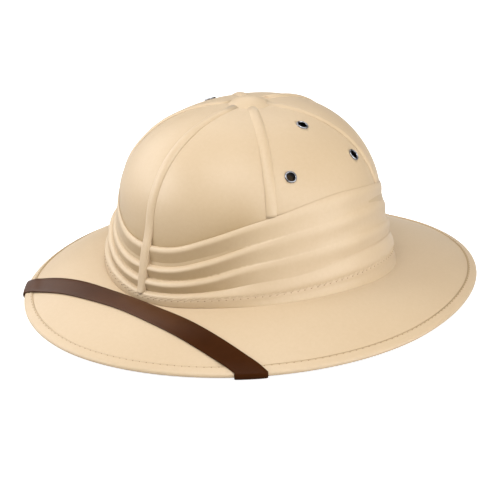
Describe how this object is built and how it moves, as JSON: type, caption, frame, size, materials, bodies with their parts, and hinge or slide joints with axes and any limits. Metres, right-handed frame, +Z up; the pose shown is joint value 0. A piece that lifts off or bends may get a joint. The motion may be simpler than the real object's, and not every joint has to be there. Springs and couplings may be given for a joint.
{
  "type": "pith helmet",
  "caption": "Fabric-covered pith helmet with a wide drooping brim, a folded band round the crown, seam ribs, vent eyelets and a chin strap worn over the front.",
  "frame": {"origin": "on the surface that the helmet rests on, at the middle of its length and width", "axes": "+Z up, -Y towards the front of the helmet, +X towards the wearer's left"},
  "size_m": [0.2952, 0.3322, 0.1353],
  "materials": {
    "fabric": "smooth sand-coloured cotton satin",
    "nickel": "polished nickel",
    "leather": "glossy dark brown"
  },
  "bodies": {
    "root": {"crown": "fabric", "folded_band": "fabric", "collar": "fabric", "brim": "fabric", "brim_binding": "fabric", "rib_front": "fabric", "rib_front_left": "fabric", "rib_back_left": "fabric", "rib_back": "fabric", "rib_back_right": "fabric", "rib_front_right": "fabric", "crown_button": "fabric", "eyelet_left_front": "nickel", "eyelet_left_top": "nickel", "eyelet_left_back": "nickel", "eyelet_right_front": "nickel", "eyelet_right_top": "nickel", "eyelet_right_back": "nickel", "chin_strap": "leather"}
  },
  "joints": []
}
